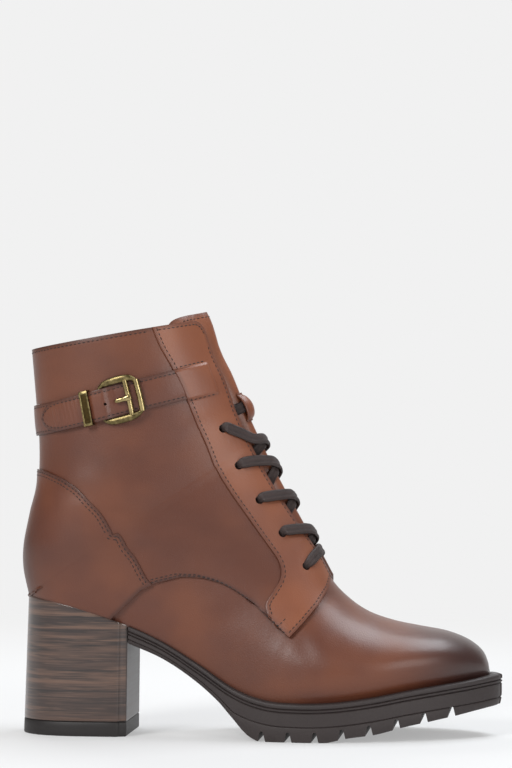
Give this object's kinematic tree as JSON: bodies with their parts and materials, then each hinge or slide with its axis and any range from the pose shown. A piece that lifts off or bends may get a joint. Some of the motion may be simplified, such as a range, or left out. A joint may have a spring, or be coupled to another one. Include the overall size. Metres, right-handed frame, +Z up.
{
  "type": "lace up ankle boot",
  "caption": "Leather lace up ankle boot for the right foot, with a block heel, a lugged sole and a buckled ankle strap.",
  "frame": {"origin": "on the floor, under the middle of the heel", "axes": "+X to the toe, +Z up, -Y to the outer side of the foot"},
  "size_m": [0.2631, 0.0927, 0.2301],
  "materials": {
    "tan_leather": "burnished, satin",
    "facing_leather": "lighter, satin",
    "insole_leather": "plain, matt",
    "lace_cord": "woven, waxed",
    "sole_rubber": "moulded, satin",
    "lift_rubber": "matt",
    "heel_wood": "stacked grain, varnished",
    "aged_brass": "aged, brushed"
  },
  "bodies": {
    "root": {"upper": "tan_leather", "quarters": "tan_leather", "heel_counter": "tan_leather", "facing_lateral": "facing_leather", "facing_medial": "facing_leather", "tongue": "facing_leather", "tongue_loop": "facing_leather", "insole": "insole_leather", "outsole": "sole_rubber", "heel_block": "heel_wood", "heel_lift": "lift_rubber", "strap_rear": "tan_leather", "strap_front": "tan_leather", "buckle": "aged_brass", "buckle_prong": "aged_brass", "strap_keeper": "aged_brass", "lace_bar": "lace_cord", "lace_top_bar": "lace_cord", "lace_cross_1": "lace_cord", "lace_cross_2": "lace_cord", "lace_cross_3": "lace_cord", "lace_cross_4": "lace_cord"}
  },
  "joints": []
}
